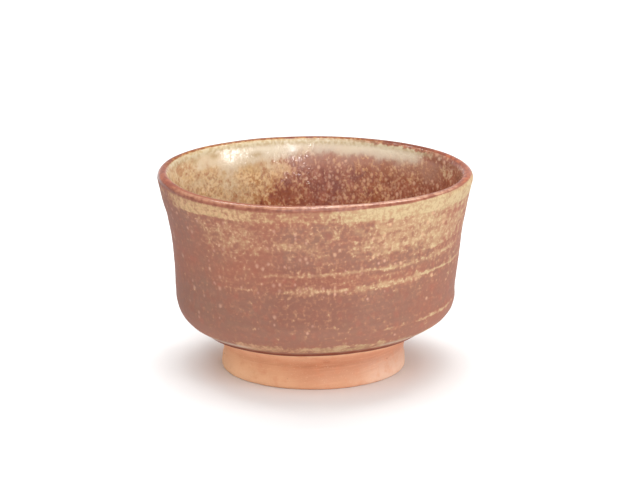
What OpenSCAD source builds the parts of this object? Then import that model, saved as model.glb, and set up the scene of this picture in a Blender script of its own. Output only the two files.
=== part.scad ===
// Guinomi sake cup: a small wheel-thrown stoneware bowl on a turned foot ring,
// glazed inside and dipped outside, with the glaze stopping just above the foot.
// The foot stands on z = 0, the axis of the throwing wheel is Z, sizes are in millimetres.

/* [Rim and wall] */
// Outside diameter at the rim
rim_d = 70; // [67:0.5:74]
// Height of the whole cup, from the table to the top of the lip
cup_h = 45; // [43:0.5:49]
// Radius of the rounded lip, half of the finished lip's thickness
lip_r = 1.3; // [1.1:0.05:1.5]
// Outside diameter of the straight lower wall, just above the shoulder
belly_d = 62.6; // [61:0.2:64]
// Height at which the belly diameter is taken
belly_h = 18; // [17:0.5:19]
// Lean of the lower wall, degrees up from the horizontal
belly_lean = 88.5; // [87:0.5:90]
// Lean of the wall just under the lip, degrees up from the horizontal
rim_lean = 77; // [74:1:82]

/* [Shoulder and underside] */
// Slope of the underside between the foot and the shoulder, degrees up from the horizontal
under_slope = 33; // [30:1:36]
// Radius of the round shoulder where the underside turns up into the wall
shoulder_r = 7.6; // [6.5:0.1:9]
// Radius from the axis at which the glaze stops on the underside
glaze_line_r = 24; // [23.4:0.1:25]
// Height of the glaze line above the table
glaze_line_h = 8.8; // [8.4:0.1:9.2]

/* [Foot ring] */
// Outside diameter of the foot ring at its widest, near the table
foot_d = 41.3; // [40:0.1:42.5]
// Outside diameter of the foot ring at its narrow top
foot_top_d = 40.8; // [39.5:0.1:41.5]
// Inside diameter of the foot ring at the table
foot_in_d = 31; // [29:0.5:33]
// Height of the foot ring, which is also the depth of the hollow under the cup
foot_h = 5.2; // [4.6:0.1:5.8]
// Rounding of the foot ring's outer bottom edge
foot_edge_r = 0.7; // [0.4:0.1:1]

/* [Clay and glaze] */
// Thickness of the glaze coat
glaze_t = 0.35; // [0.25:0.05:0.5]
// Thickness of the finished wall at belly height
wall_t = 3.4; // [3:0.1:4]
// Height of the glazed floor at the middle of the cup
floor_h = 9.8; // [9.4:0.1:10.6]

/* [Hidden] */
$fn = 96;

rim_r = rim_d / 2;
belly_r = belly_d / 2;
foot_r = foot_d / 2;
foot_top_r = foot_top_d / 2;
foot_in_r = foot_in_d / 2;
foot_in_top_r = foot_in_r - 0.8; // the hollow narrows a little towards its ceiling

// ---- small helpers for the turning profiles, which are lists of [radius, height] ----
function dir(a) = [cos(a), sin(a)];
function perp(v) = [-v[1], v[0]];
function unit(v) = v / norm(v);
// a point on a cubic curve between p0 and p3
function cub(p0, p1, p2, p3, t) =
    pow(1 - t, 3) * p0 + 3 * pow(1 - t, 2) * t * p1 + 3 * (1 - t) * t * t * p2 + pow(t, 3) * p3;
function curve(p0, p1, p2, p3, n) = [for (i = [0:n]) cub(p0, p1, p2, p3, i / n)];
function arc(c, r, a0, a1, n) = [for (i = [0:n]) c + r * dir(a0 + (a1 - a0) * i / n)];
// all points but the first, so that two runs join without a double point
function rest(l) = [for (i = [1:len(l) - 1]) l[i]];
function back(l) = [for (i = [len(l) - 1:-1:0]) l[i]];
// the same run moved sideways by d, to the left of its direction; e0 and e1 are the end directions
function sideways(l, d, e0, e1) = [
    for (i = [0:len(l) - 1])
        l[i] + d * perp(i == 0 ? e0 : i == len(l) - 1 ? e1
            : unit(unit(l[i] - l[i - 1]) + unit(l[i + 1] - l[i])))
];

// ---- finished outside: underside, shoulder, wall, outer half of the lip ----
under_dir = dir(under_slope);
belly_dir = dir(belly_lean);
glaze_line = [glaze_line_r, glaze_line_h];
// corner where the straight underside would meet the straight lower wall
belly_pt = [belly_r, belly_h];
corner_s = ((belly_pt[0] - glaze_line[0]) * belly_dir[1] - (belly_pt[1] - glaze_line[1]) * belly_dir[0])
    / (under_dir[0] * belly_dir[1] - under_dir[1] * belly_dir[0]);
corner = glaze_line + corner_s * under_dir;
shoulder_tan = shoulder_r * tan((belly_lean - under_slope) / 2);
shoulder_start = corner - shoulder_tan * under_dir;
shoulder_end = corner + shoulder_tan * belly_dir;
shoulder_c = shoulder_start + shoulder_r * perp(under_dir);
lip_c = [rim_r - lip_r, cup_h - lip_r];
wall_top = lip_c + lip_r * dir(rim_lean - 90);

outside = concat(
    [glaze_line],
    arc(shoulder_c, shoulder_r, under_slope - 90, belly_lean - 90, 10),
    rest(curve(shoulder_end, shoulder_end + 10.6 * belly_dir, wall_top - 8.7 * dir(rim_lean), wall_top, 18)),
    rest(arc(lip_c, lip_r, rim_lean - 90, 90, 8))
);
outside_clay = sideways(outside, glaze_t, under_dir, [-1, 0]);

// ---- finished inside: inner half of the lip, wall, round floor ----
in_lean = rim_lean + 3;
in_top = lip_c + lip_r * dir(in_lean + 90);
in_belly = [belly_r - wall_t, belly_h + 4];
in_dir = dir(belly_lean - 2);
inside = concat(
    arc(lip_c, lip_r, 90, in_lean + 90, 8),
    rest(curve(in_top, in_top - 7.5 * dir(in_lean), in_belly + 8 * in_dir, in_belly, 14)),
    rest(curve(in_belly, in_belly - 9.5 * in_dir, [belly_r - 12, floor_h], [0, floor_h], 20))
);
inside_clay = sideways(inside, glaze_t, [-1, 0], [-1, 0]);

// bare clay hollow between the foot ring's top and the glaze line
bare_end = outside_clay[0];
bare = curve([foot_top_r, foot_h], [foot_top_r, foot_h + 1.3], bare_end - 2 * under_dir, bare_end, 8);

module bowl_body() {
    color([0.85, 0.62, 0.47])
        rotate_extrude()
            polygon(concat([[0, foot_h]], bare, rest(outside_clay), rest(inside_clay)));
}

module foot_ring() {
    color([0.87, 0.61, 0.46])
        rotate_extrude()
            polygon(concat(
                arc([foot_r - foot_edge_r, foot_edge_r], foot_edge_r, -90, 0, 5),
                rest(curve([foot_r, foot_edge_r], [foot_r, foot_h * 0.4], [foot_top_r, foot_h * 0.6], [foot_top_r, foot_h], 6)),
                [[foot_in_top_r, foot_h], [foot_in_r, 0.5], [foot_in_r + 0.5, 0]]
            ));
}

module inner_glaze() {
    color([0.62, 0.38, 0.27])
        rotate_extrude()
            polygon(concat(inside, back(inside_clay)));
}

module outer_glaze() {
    color([0.68, 0.49, 0.40])
        rotate_extrude()
            polygon(concat(outside, back(outside_clay)));
}

bowl_body();
foot_ring();
inner_glaze();
outer_glaze();
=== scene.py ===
import math

import bpy
import numpy as np
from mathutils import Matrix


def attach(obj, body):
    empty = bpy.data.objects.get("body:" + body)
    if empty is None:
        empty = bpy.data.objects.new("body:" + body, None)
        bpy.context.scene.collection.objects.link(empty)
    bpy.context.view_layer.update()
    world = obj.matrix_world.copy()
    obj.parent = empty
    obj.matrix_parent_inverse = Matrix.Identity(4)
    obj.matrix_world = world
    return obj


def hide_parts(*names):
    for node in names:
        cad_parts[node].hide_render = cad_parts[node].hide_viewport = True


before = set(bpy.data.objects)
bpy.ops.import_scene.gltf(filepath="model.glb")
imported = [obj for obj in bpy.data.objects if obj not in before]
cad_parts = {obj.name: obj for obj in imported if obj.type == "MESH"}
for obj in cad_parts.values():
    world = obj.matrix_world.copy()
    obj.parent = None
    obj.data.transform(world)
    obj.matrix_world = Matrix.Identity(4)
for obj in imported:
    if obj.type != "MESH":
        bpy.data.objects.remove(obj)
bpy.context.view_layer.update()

# Guinomi sake cup. Lengths below are in millimetres in the cup's own frame and become metres when a mesh is made.
# Angles go round the Z axis: 0 is to the right (+X), -90 faces the camera, 90 is the far side.
MM = 0.001

# ---------------------------------------------------------------- the turned form, as in the CAD model
RIM_R, CUP_H, LIP_R = 35.0, 45.0, 1.3
BELLY_R, BELLY_H, BELLY_LEAN, RIM_LEAN = 31.3, 18.0, 88.5, 77.0
UNDER_SLOPE, SHOULDER_R = 33.0, 7.6
GLAZE_LINE = np.array([24.0, 8.8])
FOOT_R, FOOT_TOP_R, FOOT_IN_R, FOOT_H, FOOT_EDGE = 20.65, 20.4, 15.5, 5.2, 0.7
GLAZE_T, WALL_T, FLOOR_H = 0.35, 3.4, 9.8


def direc(a):
    return np.array([math.cos(math.radians(a)), math.sin(math.radians(a))])


def turn(v):
    return np.array([-v[1], v[0]])


def bezier(p0, p1, p2, p3, n=80):
    t = np.linspace(0, 1, n + 1)[:, None]
    return (1 - t) ** 3 * p0 + 3 * (1 - t) ** 2 * t * p1 + 3 * (1 - t) * t * t * p2 + t ** 3 * p3


def arc(c, r, a0, a1, n=40):
    a = np.radians(np.linspace(a0, a1, n + 1))
    return np.stack([c[0] + r * np.cos(a), c[1] + r * np.sin(a)], 1)


under_dir, belly_dir = direc(UNDER_SLOPE), direc(BELLY_LEAN)
corner_s = np.linalg.solve(np.array([under_dir, -belly_dir]).T, np.array([BELLY_R, BELLY_H]) - GLAZE_LINE)[0]
corner = GLAZE_LINE + corner_s * under_dir
tan_len = SHOULDER_R * math.tan(math.radians((BELLY_LEAN - UNDER_SLOPE) / 2))
sh_start, sh_end = corner - tan_len * under_dir, corner + tan_len * belly_dir
sh_c = sh_start + SHOULDER_R * turn(under_dir)
LIP_C = np.array([RIM_R - LIP_R, CUP_H - LIP_R])
wall_top = LIP_C + LIP_R * direc(RIM_LEAN - 90)
IN_LEAN = RIM_LEAN + 3
in_top = LIP_C + LIP_R * direc(IN_LEAN + 90)
in_belly = np.array([BELLY_R - WALL_T, BELLY_H + 4])
in_dir = direc(BELLY_LEAN - 2)


def join(*runs):
    out = [runs[0]]
    for r in runs[1:]:
        out.append(r[1:])
    return np.concatenate(out)


class Path:
    """A turning profile as a dense line of (radius, height), read by the length along it."""

    def __init__(self, pts):
        self.p = np.asarray(pts, float)
        d = np.hypot(*np.diff(self.p, axis=0).T)
        self.s = np.concatenate([[0], np.cumsum(d)])
        self.length = self.s[-1]
        t = np.gradient(self.p, self.s, axis=0)
        t /= np.linalg.norm(t, axis=1)[:, None]
        self.n = np.stack([t[:, 1], -t[:, 0]], 1)  # to the right of the way the path runs: away from the clay

    def at(self, s):
        return np.stack([np.interp(s, self.s, self.p[:, i]) for i in (0, 1)], -1)

    def normal(self, s):
        n = np.stack([np.interp(s, self.s, self.n[:, i]) for i in (0, 1)], -1)
        return n / np.linalg.norm(n, axis=-1)[..., None]

    def s_at_height(self, z, start=0.0):
        k = self.s >= start
        return float(np.interp(z, self.p[k, 1], self.s[k]))


outer_wall = join(
    np.stack([GLAZE_LINE, sh_start]),
    arc(sh_c, SHOULDER_R, UNDER_SLOPE - 90, BELLY_LEAN - 90),
    bezier(sh_end, sh_end + 10.6 * belly_dir, wall_top - 8.7 * direc(RIM_LEAN), wall_top),
)
# extended inwards past the glaze line, so that the line can wander on the underside
start_run = np.stack([GLAZE_LINE - 1.2 * under_dir, GLAZE_LINE])
OUT = Path(join(start_run, outer_wall, arc(LIP_C, LIP_R, RIM_LEAN - 90, 165)))
INN = Path(join(
    arc(LIP_C, LIP_R, 90, IN_LEAN + 90),
    bezier(in_top, in_top - 7.5 * direc(IN_LEAN), in_belly + 8 * in_dir, in_belly),
    bezier(in_belly, in_belly - 9.5 * in_dir, np.array([BELLY_R - 12, FLOOR_H]), np.array([0.0, FLOOR_H]), 160),
))

# ---------------------------------------------------------------- smooth noise, seeded
_tables = {}


def noise(x, y, z, seed=1):
    """Smooth gradient noise, about -1 to 1, for arrays of coordinates."""
    if seed not in _tables:
        rng = np.random.RandomState(seed)
        g = rng.normal(size=(256, 3))
        _tables[seed] = (rng.permutation(256), g / np.linalg.norm(g, axis=1)[:, None])
    perm, grad = _tables[seed]
    x, y, z = np.broadcast_arrays(x, y, z)
    p = np.stack([x, y, z], -1).astype(float)
    q = np.floor(p).astype(int)
    f = p - q
    u = f * f * f * (f * (f * 6 - 15) + 10)
    out = np.zeros(p.shape[:-1])
    for i in (0, 1):
        for j in (0, 1):
            for k in (0, 1):
                h = perm[(perm[(perm[(q[..., 0] + i) & 255] + q[..., 1] + j) & 255] + q[..., 2] + k) & 255]
                d = (grad[h] * (f - np.array([i, j, k]))).sum(-1)
                wx = u[..., 0] if i else 1 - u[..., 0]
                wy = u[..., 1] if j else 1 - u[..., 1]
                wz = u[..., 2] if k else 1 - u[..., 2]
                out += wx * wy * wz * d
    return out * 1.7


def fbm(x, y, z, seed=1, octaves=3):
    out, a = 0, 1.0
    for o in range(octaves):
        out = out + a * noise(x * 2 ** o, y * 2 ** o, z * 2 ** o, seed + 31 * o)
        a *= 0.5
    return out


def smooth(a, b, x):
    t = np.clip((x - a) / (b - a), 0, 1)
    return t * t * (3 - 2 * t)


def bell(x, width):
    return np.exp(-(x / width) ** 2)


# ---------------------------------------------------------------- what the hand left in the form
N = 600  # points round
TH = np.radians(-270 + 360 * (np.arange(N) + 0.5) / N)  # starts and ends at the far side
COS, SIN = np.cos(TH), np.sin(TH)
DEG = np.degrees(TH)  # -270 to 90
# The finger marks rise as the wheel turns, 9 mm in one turn. Round the far side the two ends of that
# spiral are blended: height_a is unbroken in front, height_b behind, far says how much of b to take.
RISE = 9.0
DEG_B = np.where(DEG < -90, DEG + 360, DEG)  # -90 to 270
FAR = smooth(35, 0, np.abs(np.abs(DEG + 90) - 180))


def spiral(z):
    return z - RISE * (DEG + 90) / 360, z - RISE * (DEG_B + 90 - 180) / 360


CX = ([0, 5, 8, 12, 20, 28, 36, 45], [0, 0.10, 0.05, 0.70, 0.45, 0.65, 0.60, 0.45])
TILT = ([0, 5, 9, 12, 20, 28, 36, 45], [0, 0, 0.018, 0.022, 0.003, -0.006, -0.003, -0.004])


def warp(r, z):
    """Radius and height of the true form, (rings, N) arrays, to points of the cup as thrown: a little out of
    round, off centre and tilted, by tenths of a millimetre."""
    k = np.clip(z / CUP_H, 0, 1.05)
    r = r + k ** 2 * (0.10 * noise(COS * 1.3, SIN * 1.3, z / 25 + 3.1, 5) + 0.05 * noise(COS * 2.7, SIN * 2.7, z / 14, 6))
    right, left = bell((DEG + 180) % 360 - 180, 70), bell(DEG % 360 - 180, 60)
    r = r + 0.16 * bell(z - 13.5, 3.0) + 0.22 * bell(z - 11.2, 2.0) + 0.10 * smooth(41, 44, z)
    r = r + right * (0.15 * bell(z - 24.5, 4.5) - 0.15 * bell(z - 18, 1.8)) + left * 0.30 * bell(z - 39.8, 3.4)
    z = z + k ** 4 * (0.07 * noise(COS * 1.6, SIN * 1.6, 9.3, 7) + 0.04 * noise(COS * 3.7, SIN * 3.7, 2.3, 8))
    z = z - 0.52 * np.clip(smooth(-172, -140, DEG) * smooth(-78, -112, DEG), 0, 1) * smooth(36, 44, z)
    x = r * COS + np.interp(z, *CX)
    y = r * SIN
    z = z + np.interp(z, *TILT) * x * smooth(3.0, 7.0, z)
    return np.stack([x, y, z], -1)


def marks(z, sizes, seed):
    """Throwing marks: rings that follow the spiral, each size as (spacing, depth, how fast they change round)."""
    a, b = spiral(z)
    out = 0
    for i, (gap, deep, rate) in enumerate(sizes):
        na = noise(COS * rate, SIN * rate, a / gap, seed + i)
        nb = noise(COS * rate, SIN * rate, b / gap, seed + i)
        out = out + deep * (na * (1 - FAR) + nb * FAR)
    return out


# ---------------------------------------------------------------- meshes
def lathe(name, rings, v, pole_start=None, pole_end=None, layers=None, closed=True):
    """A closed mesh from (K, N, 3) points in mm. Without poles the last ring joins the first. v holds each
    ring's place in the bake map, K + 1 values from 0 to 1; layers holds (K, N) numbers for each vertex."""
    K = len(rings)
    verts = rings.reshape(-1, 3)
    idx = np.arange(K * N).reshape(K, N)
    nxt = np.roll(idx, -1, axis=1)
    faces, uvs = [], []
    half = N // 2
    col = np.arange(N)
    row = col // half
    u0 = (col % half) / half * 0.992 + 0.004
    u1 = ((col % half) + 1) / half * 0.992 + 0.004

    def vv(t):
        return row * 0.5 + 0.004 + 0.492 * t

    def band(a, an, b, bn, va, vb):
        faces.extend(np.stack([a, an, bn, b], 1).tolist())
        uvs.append(np.stack([
            np.stack([u0, vv(va)], 1), np.stack([u1, vv(va)], 1),
            np.stack([u1, vv(vb)], 1), np.stack([u0, vv(vb)], 1)], 1).reshape(-1, 2))

    if pole_start is not None:
        p = len(verts)
        verts = np.concatenate([verts, [pole_start]])
        faces.extend([[p, int(nxt[0, j]), int(idx[0, j])] for j in range(N)])
        um = (u0 + u1) / 2
        uvs.append(np.stack([np.stack([um, vv(0.0)], 1), np.stack([u1, vv(v[0])], 1), np.stack([u0, vv(v[0])], 1)], 1).reshape(-1, 2))
    for k in range(K - 1):
        band(idx[k], nxt[k], idx[k + 1], nxt[k + 1], v[k], v[k + 1])
    if pole_end is not None:
        p = len(verts)
        verts = np.concatenate([verts, [pole_end]])
        faces.extend([[int(idx[-1, j]), int(nxt[-1, j]), p] for j in range(N)])
        um = (u0 + u1) / 2
        uvs.append(np.stack([np.stack([u0, vv(v[K - 1])], 1), np.stack([u1, vv(v[K - 1])], 1), np.stack([um, vv(1.0)], 1)], 1).reshape(-1, 2))
    if pole_start is None:
        band(idx[-1], nxt[-1], idx[0], nxt[0], v[K - 1], 1.0)
    me = bpy.data.meshes.new(name)
    me.from_pydata((verts * MM).tolist(), [], faces)
    me.polygons.foreach_set("use_smooth", np.ones(len(me.polygons), bool))
    for key, val in (layers or {}).items():
        flat = np.broadcast_to(val, (K, N)).reshape(-1)
        if pole_start is not None:
            flat = np.append(flat, np.mean(np.broadcast_to(val, (K, N))[0]))
        if pole_end is not None:
            flat = np.append(flat, np.mean(np.broadcast_to(val, (K, N))[-1]))
        at = me.attributes.new(key, "FLOAT", "POINT")
        at.data.foreach_set("value", flat.astype(np.float32))
    uv = me.uv_layers.new(name="OFBake")
    uv.data.foreach_set("uv", np.concatenate(uvs).astype(np.float32).reshape(-1))
    me.validate()
    ob = bpy.data.objects.new(name, me)
    bpy.context.scene.collection.objects.link(ob)
    return ob


def map_rows(points, shown):
    """Bake-map places for rings: the shown rings share 0.93 of it by their length, the hidden ones the rest."""
    c = np.asarray(points)
    step = np.hypot(*np.diff(np.concatenate([c, c[:1]]), axis=0).T) + 1e-6
    show = np.asarray(shown, bool)
    w = np.where(show, step, 0)
    h = np.where(show, 0, step)
    w = w / max(w.sum(), 1e-9) * 0.93
    h = h / max(h.sum(), 1e-9) * 0.07
    return np.concatenate([[0], np.cumsum(w + h)])


# ---------------------------------------------------------------- where the glaze did what: outside
def line_mark(z, a0, z0, a1, z1, half, strength, wob=0.15, seed=40, ends=5.0):
    """A streak along the wheel's turning, from angle a0 at height z0 to a1 at z1."""
    t = (DEG - a0) / (a1 - a0)
    mid = z0 + (z1 - z0) * t + wob * noise(COS * 9, SIN * 9, z0 * 3.7, seed)
    inside = smooth(a0 - ends, a0 + ends, DEG) * smooth(a1 + ends, a1 - ends, DEG)
    wide = half * (1 + 0.35 * noise(COS * 12, SIN * 12, z0 * 1.9, seed + 1))
    return strength * inside * bell(z - mid, np.maximum(wide, 0.12))


def zone(z, a0, a1, z0, z1, fa, fz, rag=0.0, seed=60):
    """A patch with soft borders; rag roughens the borders, in mm."""
    w = rag * fbm(COS * 7, SIN * 7, z / 4, seed)
    return (smooth(a0 - fa, a0 + fa, DEG + w * 3) * smooth(a1 + fa, a1 - fa, DEG + w * 3)
            * smooth(z0 - fz, z0 + fz, z + w) * smooth(z1 + fz, z1 - fz, z + w))


def outer_layers(z, s, phi):
    """s is the distance from the glaze line, phi the angle round the lip, 90 on its crest. cream: how much cream
    there is; warm: how yellow it is; lip: the red-brown lip; dark: thin dark glaze at the rolled edge and under
    the lip, and painted shade on the far left of the front; ochre, milk: the far crest; dull: the greyer brown;
    specks: how many lone specks."""
    deg = DEG + 0 * z
    slow = fbm(COS * 2.2, SIN * 2.2, z / 11, 21)
    drag_a, drag_b = spiral(z)
    streaky = (noise(COS * 4, SIN * 4, drag_a / 0.9, 23) * (1 - FAR) + noise(COS * 4, SIN * 4, drag_b / 0.9, 23) * FAR)
    streaky2 = (noise(COS * 9, SIN * 9, drag_a / 0.5, 24) * (1 - FAR) + noise(COS * 9, SIN * 9, drag_b / 0.5, 24) * FAR)
    rag = fbm(COS * 8, SIN * 8, 1.7, 25, 3)
    # how the cream grows from the left of the front to the right, and what the far side has
    right = smooth(-104, -70, deg) * smooth(8, -22, deg)
    back = np.clip(smooth(10, 60, deg) + smooth(-185, -235, deg), 0, 1)
    left = smooth(-118, -140, deg) * (1 - back)

    # cream band under the lip
    low = 41.2 + (0.10 + 0.28 * smooth(-70, -110, deg) * (1 - back)) * rag - 0.55 * smooth(-112, -150, deg) * (1 - back)
    lip_edge = 1.06 - 0.34 * smooth(-92, -62, deg) - 0.42 * smooth(-62, -28, deg)
    lip_edge = lip_edge * (1 - back) + 0.70 * back
    band = smooth(low - 0.45, low + 0.25, z) * smooth(CUP_H - lip_edge + 0.1, CUP_H - lip_edge - 0.25, z)
    band = band * (0.56 + 0.06 * smooth(-106, -120, deg) * (1 - back) - 0.19 * bell(deg + 92, 18) + 0.19 * right + 0.10 * rag - 0.36 * smooth(-149, -160, deg) * smooth(-200, -180, deg))

    cream = 0.19 + 0.04 * slow - 0.05 * smooth(-112, -134, deg) * (1 - back)
    cream = cream + 0.36 * (1 - 0.14 * smooth(-46, -26, deg)) * zone(z, -76, -8, 33.5, 42.0, 13, 1.4, 1.0) * (0.9 + 0.38 * streaky + 0.15 * slow)
    cream = cream + 0.21 * np.maximum(zone(z, -138, -112, 34.0, 38.8, 5, 1.0, 0.8, 61), zone(z, -116, -86, 33.4, 36.9, 5, 0.9, 0.8, 67)) * (0.9 + 0.35 * streaky)
    cream = cream + 0.13 * zone(z, -150, -84, 38.4, 41.4, 6, 0.8, 0.6, 62)
    cream = cream + 0.11 * zone(z, -140, -121, 31.5, 40.0, 5, 1.2, 0.6, 65)
    cream = cream + 0.09 * zone(z, -88, -12, 27.0, 33.2, 8, 1.0, 0.5, 63) * (0.55 + 0.9 * streaky)
    cream = cream + 0.07 * zone(z, -132, -118, 26.0, 31.0, 4, 1.0, 0.6, 64)
    cream = cream - 0.06 * zone(z, -107, -93, 31.2, 34.6, 4, 0.8, 0.4, 76) - 0.06 * zone(z, -77, -63, 28.6, 34.4, 4, 1.0, 0.4, 77)
    cream = cream + 0.04 * zone(z, -138, -122, 31.6, 34.4, 4, 0.8, 0.4, 78) + 0.04 * zone(z, -92, -78, 36.6, 39.6, 4, 0.8, 0.4, 79)
    cream = cream - 0.10 * smooth(25.5, 20, z) - 0.06 * left
    # the far side: like the right, a little thinner, fading round to the left
    cream = cream + back * (0.20 * smooth(29, 36, z) + 0.10 * streaky * smooth(18, 28, z) + 0.05)
    for a0, z0, a1, z1, half, power in (
        (-113, 28.6, -91, 29.0, 0.38, 0.30), (-90, 29.3, -60, 30.1, 0.42, 0.27), (-62, 29.9, -20, 31.4, 0.55, 0.23),
        (-48, 32.6, -26, 33.3, 0.35, 0.20), (-101, 25.2, -62, 26.2, 0.75, 0.28), (-64, 26.1, -43, 27.0, 0.80, 0.33),
        (-45, 27.0, -14, 27.8, 0.22, 0.40), (-127, 24.8, -113, 24.9, 0.20, 0.30), (-133, 26.0, -124, 26.3, 0.6, 0.18),
        (-170, 23.5, -154, 24.2, 0.25, 0.16), (-66, 15.6, -18, 16.5, 0.28, 0.30), (-42, 16.2, -14, 17.0, 0.36, 0.36), (-150, 21.9, -140, 22.2, 0.4, 0.16),
        (-14, 28.0, 30, 29.4, 0.30, 0.34), (20, 31.2, 80, 33.0, 0.45, 0.34), (-12, 31.8, 60, 34.2, 0.40, 0.34),
        (-262, 30.6, -205, 32.4, 0.45, 0.34), (-260, 26.4, -196, 28.2, 0.30, 0.30), (-240, 22.4, -190, 23.4, 0.25, 0.26),
    ):
        cream = cream + line_mark(z, a0, z0, a1, z1, half, power)
    cream = cream + 0.04 * streaky2
    cream = np.maximum(cream, band)
    # pooled cream where the glaze stopped, above its dark rolled edge
    pool = smooth(2.3, 3.2, s) * smooth(7.4, 5.0, s + 0.9 * fbm(COS * 6, SIN * 6, 4.4, 29)) * np.clip(0.35 + 0.90 * smooth(-134, -120, deg) - 0.50 * smooth(-88, -68, deg) + back, 0, 1.15)
    # a pale grey line on the underside at both sides of the front: a painted reflection of the white floor
    painted_floor_reflection = bell(s - 3.9 - 0.30 * slow, 0.85) * np.clip(smooth(-116, -128, deg) + smooth(-64, -52, deg) * (0.35 + 0.65 * smooth(15, -25, deg)), 0, 1) * (1 - back)
    cream = np.maximum(cream, np.clip(pool, 0, 1.15) * (0.63 + 0.36 * noise(COS * 14, SIN * 14, z / 2, 27)))
    warm = np.clip(0.35 + 0.35 * right + 0.25 * slow + 0.25 * band - 0.45 * pool, 0, 1)
    lip_top = CUP_H - z
    lip = smooth(lip_edge + 0.12, lip_edge - 0.14, lip_top + 0.08 * fbm(COS * 7, SIN * 7, 0.4, 26)) * (z > 43.0)
    lip = np.maximum(lip, smooth(70, 80, phi))
    # on the far side the crest has a dark red-brown edge, then ochre, then milky glaze; the red-brown lip is near
    d360 = np.where(deg < -90, deg + 360, deg)
    far_rim = smooth(24, 46, d360 + 5 * fbm(COS * 5, SIN * 5, 8.1, 38)) * smooth(184, 164, d360)
    dash = smooth(0.05, 0.5, fbm(COS * 8, SIN * 8, 2.9, 35, 2) + 0.60 * smooth(90, 48, d360) - 0.05)
    edge_at = 107 - 17 * smooth(118, 140, d360) + 11 * smooth(78, 50, d360) + 6 * fbm(COS * 9, SIN * 9, 4.1, 36) + 22 * dash
    ochre = far_rim * smooth(edge_at, edge_at + 8, phi) * smooth(152, 134, phi)
    leftside = smooth(104, 134, d360) * smooth(266, 236, d360)
    milk = np.maximum(far_rim * smooth(134, 152, phi), leftside * smooth(116, 130, phi))
    red = far_rim * smooth(20, 60, phi) * smooth(edge_at + 8, edge_at, phi)
    lip = lip * (1 - far_rim)
    under = bell(lip_top - lip_edge - 0.12 - 0.08 * noise(COS * 5, SIN * 5, 6.1, 28), 0.26) * (phi < 60)
    under = 0.45 * under * (0.85 - 0.60 * right + 0.30 * noise(COS * 6, SIN * 6, 8.8, 30))
    edge_line = smooth(2.3, 1.4, s + 0.35 * fbm(COS * 11, SIN * 11, 7.7, 37))
    dark = np.maximum(edge_line, np.clip(under, 0, 1))
    # painted shade: the far left of the front wall is darkened
    dark = np.maximum(dark, 0.26 * smooth(-142, -160, deg) * smooth(-215, -188, deg) * smooth(10, 14, z))
    dark = np.clip(np.maximum(dark, (0.75 + 0.25 * dash) * red * (1 - 0.5 * smooth(122, 146, d360))), 0, 1)
    dull = np.clip(0.40 + 0.35 * slow + 0.25 * smooth(27, 20, z) * smooth(-60, -95, deg) * (1 - back) + 0.25 * smooth(27, 20, z) + 0.20 * left
                   + 0.55 * zone(z, -104, -40, 29.5, 41.0, 8, 1.5, 0.5, 69)
                   + 0.40 * zone(z, -106, -48, 14.0, 26.0, 8, 2.0, 0.5, 73), 0, 1)
    specks = np.clip(0.22 + 0.22 * slow + 0.15 * left + 0.2 * zone(z, -140, -80, 24, 36, 6, 2.0, 0.5, 66) + 0.22 * zone(z, -104, -62, 24, 41, 6, 2.0, 0.5, 68) - 0.20 * smooth(24, 18, z), 0.05, 1)
    # painted shade: the lower front wall is darkened
    shade = zone(z, -108, -76, 17.0, 31.0, 8, 2.0, 0.5, 70)
    # below: the lower body is lightened towards the foot, painted light from the floor
    return dict(cream=np.clip(cream, 0, 1), warm=warm, lip=lip, dark=dark, dull=dull, shade=shade, specks=specks, ochre=ochre, painted_floor_reflection=painted_floor_reflection,
                milk=milk, below=smooth(18.0, 10.5, z), gloss=smooth(CUP_H - lip_edge - 0.2, CUP_H - lip_edge + 0.2, z) * (1 - 0.85 * far_rim), bandy=np.clip(band / 0.8, 0, 1), right=right,
                crest=np.clip(phi / 180, 0, 1), ends=1 - smooth(-163, -142, deg) * smooth(-16, -34, deg))


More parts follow.
